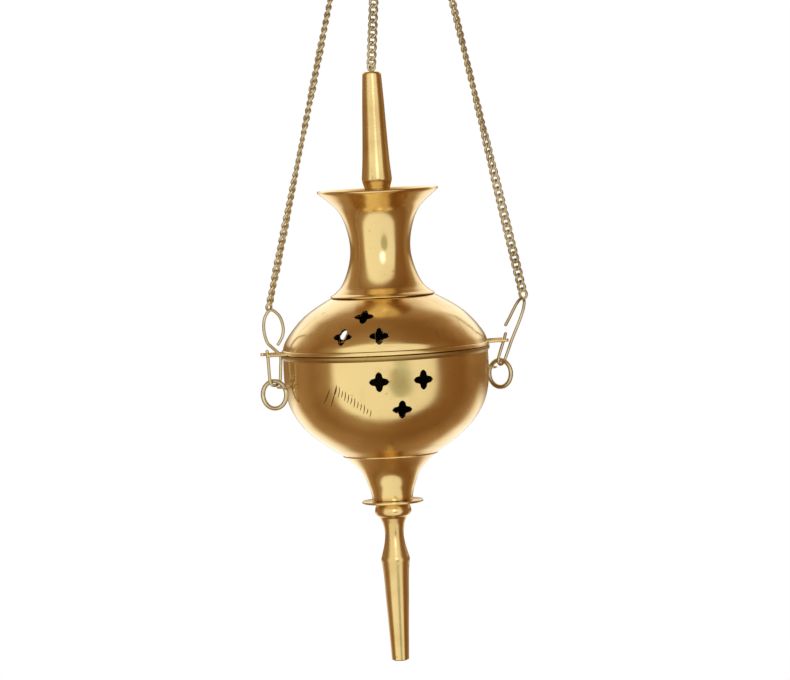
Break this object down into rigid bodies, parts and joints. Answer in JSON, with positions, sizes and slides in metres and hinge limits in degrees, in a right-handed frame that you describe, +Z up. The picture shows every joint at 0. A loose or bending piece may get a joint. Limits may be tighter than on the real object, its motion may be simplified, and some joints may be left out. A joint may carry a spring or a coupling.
{
  "type": "thurible censer",
  "caption": "Hanging brass censer: pierced round bowl under a domed lid with a waisted neck and tall finial, hung by side chains, with a lid chain that lifts the lid.",
  "frame": {"origin": "hang point: the inside top of the hanging ring", "axes": "+Z up; the eyelets and side chains lie on the X axis, left is -X; the front is -Y"},
  "size_m": [0.1216, 0.0922, 0.4106],
  "materials": {
    "brass": "polished, hand worn",
    "pale_brass": "dull, pale wire and chain",
    "dark_brass": "unpolished inner hardware",
    "iron": "sooty"
  },
  "bodies": {
    "hanging_ring": {"hanging_ring": "brass"},
    "crown": {"crown_eye": "brass", "crown_plate": "brass"},
    "bowl": {"left_crown_link": "pale_brass", "right_crown_link": "pale_brass", "left_chain": "pale_brass", "right_chain": "pale_brass", "left_hook": "pale_brass", "right_hook": "pale_brass", "bowl": "brass", "left_eyelet": "pale_brass", "right_eyelet": "pale_brass", "collar_disc": "brass", "bottom_finial": "brass", "bottom_stud": "dark_brass", "bottom_nut": "dark_brass"},
    "coal_cup": {"coal_cup": "iron"},
    "lid": {"lid_brim": "brass", "lid_dome": "brass", "lid_neck": "brass", "neck_plate": "brass", "top_finial": "brass", "top_stud": "dark_brass", "top_nut": "dark_brass", "finial_eye": "pale_brass", "lid_chain": "pale_brass"},
    "pull_ring": {"pull_ring": "pale_brass"},
    "left_ring": {"left_ring": "pale_brass"},
    "right_ring": {"right_ring": "pale_brass"}
  },
  "joints": [
    {"name": "side_swing", "type": "hinge", "parent": "hanging_ring", "child": "crown", "pos_m": [0, 0, -0.0092], "axis": [0, 1, 0], "range_deg": [-35, 35]},
    {"name": "fore_swing", "type": "hinge", "parent": "crown", "child": "bowl", "pos_m": [0, 0, -0.026], "axis": [1, 0, 0], "range_deg": [-9, 9]},
    {"name": "lid_lift", "type": "slide", "parent": "bowl", "child": "lid", "axis": [0.0596, 0, 0.9982], "range_m": [0, 0.038]},
    {"name": "coal_cup_lift", "type": "slide", "parent": "bowl", "child": "coal_cup", "axis": [-0.0509, 0, 0.9987], "range_m": [0, 0.02]},
    {"name": "pull_ring_tilt", "type": "hinge", "parent": "lid", "child": "pull_ring", "pos_m": [0.00022, 0.01031, -0.0223], "axis": [1, 0, 0], "range_deg": [0, 85]},
    {"name": "left_ring_turn", "type": "hinge", "parent": "bowl", "child": "left_ring", "pos_m": [-0.051, 0, -0.2831], "axis": [0.6239, -0.6264, -0.4673], "range_deg": [-8, 8]},
    {"name": "right_ring_turn", "type": "hinge", "parent": "bowl", "child": "right_ring", "pos_m": [0.052, 0, -0.2752], "axis": [-0.5146, 0.6727, -0.5316], "range_deg": [-8, 8]}
  ]
}
